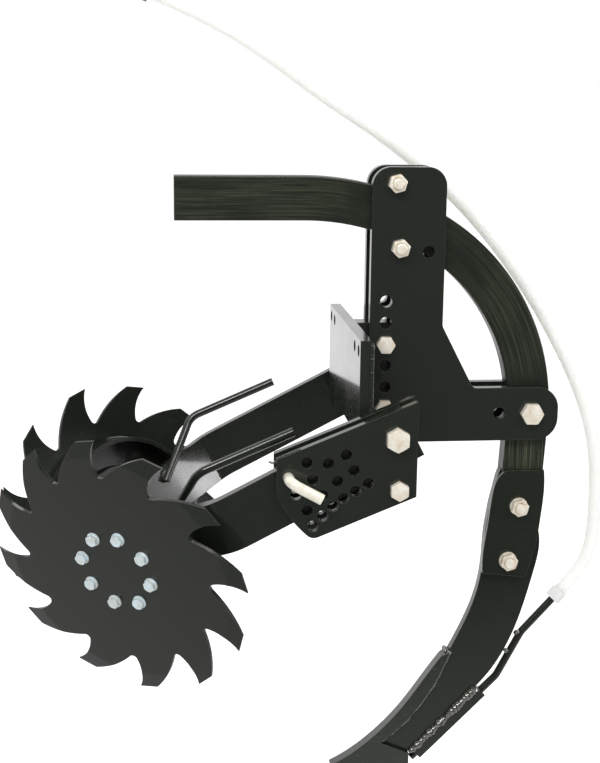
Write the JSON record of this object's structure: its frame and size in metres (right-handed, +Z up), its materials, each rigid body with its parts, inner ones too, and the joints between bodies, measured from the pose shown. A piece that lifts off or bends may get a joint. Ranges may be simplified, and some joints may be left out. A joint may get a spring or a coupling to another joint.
{
  "type": "row cleaner",
  "caption": "Row cleaner with swept-tooth wheels on bent pin-set swinging arms, carried by a curved shank that ends in a fertiliser knife with fluid hose.",
  "frame": {"origin": "centre of the shank's square front end face", "axes": "+X to the rear, so the tool travels along -X; +Z up; -Y is the side with the plates of setting holes, called near"},
  "size_m": [0.735, 0.3944, 0.9597],
  "materials": {
    "frame_paint": "gloss black powder coat",
    "shank_paint": "semi-gloss black paint",
    "wheel_paint": "gloss black paint",
    "zinc": "yellowed zinc plate",
    "wheel_zinc": "bluish zinc plate",
    "pin_zinc": "pale zinc plate",
    "spring_wire": "bright wire",
    "bare_steel": "turned steel",
    "hose_poly": "milky natural tube",
    "ferrule_poly": "satin off-white",
    "fitting_poly": "satin black"
  },
  "bodies": {
    "frame": {"shank": "shank_paint", "mast_plate_near": "frame_paint", "mast_plate_far": "frame_paint", "mast_bolts": "zinc", "mast_nuts": "zinc", "mount_block": "frame_paint", "mounting_plate": "frame_paint", "pivot_plate_near_inner": "frame_paint", "pivot_plate_near_outer": "frame_paint", "pivot_plate_far_inner": "frame_paint", "pivot_plate_far_outer": "frame_paint", "pivot_bolt_near": "zinc", "pivot_bolt_far": "zinc", "pivot_nuts_near": "zinc", "pivot_nuts_far": "zinc", "spacer_near": "frame_paint", "spacer_far": "frame_paint", "spacer_bolt_near": "zinc", "spacer_bolt_far": "zinc", "knife_cheek_near": "shank_paint", "knife_cheek_far": "shank_paint", "knife_bolts": "zinc", "knife_nuts": "zinc", "knife_blade": "shank_paint", "knife_point": "shank_paint", "product_tube": "shank_paint", "tube_guard": "shank_paint", "hose_ferrule": "ferrule_poly", "hose": "hose_poly", "hose_fitting": "fitting_poly"},
    "arm_near": {"arm_near": "frame_paint", "pivot_bush_near": "bare_steel", "guard_rod_near": "frame_paint", "spindle_near": "bare_steel", "spindle_nut_near": "zinc"},
    "wheel_near": {"toothed_wheel_near": "wheel_paint", "depth_band_near": "wheel_paint", "hub_near": "wheel_paint", "bearing_near": "bare_steel", "wheel_bolts_near": "wheel_zinc"},
    "pin_near": {"setting_pin_near": "pin_zinc", "hairpin_near": "spring_wire"},
    "arm_far": {"arm_far": "frame_paint", "pivot_bush_far": "bare_steel", "guard_rod_far": "frame_paint", "spindle_far": "bare_steel", "spindle_nut_far": "zinc"},
    "wheel_far": {"toothed_wheel_far": "wheel_paint", "depth_band_far": "wheel_paint", "hub_far": "wheel_paint", "bearing_far": "bare_steel", "wheel_bolts_far": "wheel_zinc"},
    "pin_far": {"setting_pin_far": "pin_zinc", "hairpin_far": "spring_wire"}
  },
  "joints": [
    {"name": "arm_near_lift", "type": "hinge", "parent": "frame", "child": "arm_near", "pos_m": [0.2366, -0.14545, -0.2472], "axis": [0, 1, 0], "range_deg": [0, 14]},
    {"name": "wheel_near_spin", "type": "hinge", "parent": "arm_near", "child": "wheel_near", "pos_m": [-0.06826, -0.10394, -0.40883], "axis": [-0.5088, -0.8192, -0.2648], "continuous": true},
    {"name": "pin_near_swivel", "type": "hinge", "parent": "frame", "child": "pin_near", "pos_m": [0.11836, -0.14545, -0.28837], "axis": [0, 1, 0], "range_deg": [-40, 40]},
    {"name": "arm_far_lift", "type": "hinge", "parent": "frame", "child": "arm_far", "pos_m": [0.2366, 0.14545, -0.2472], "axis": [0, 1, 0], "range_deg": [0, 14]},
    {"name": "wheel_far_spin", "type": "hinge", "parent": "arm_far", "child": "wheel_far", "pos_m": [-0.06826, 0.10394, -0.40883], "axis": [-0.5088, 0.8192, -0.2648], "continuous": true},
    {"name": "pin_far_swivel", "type": "hinge", "parent": "frame", "child": "pin_far", "pos_m": [0.28531, 0.14545, -0.22899], "axis": [0, 1, 0], "range_deg": [-40, 40]}
  ]
}
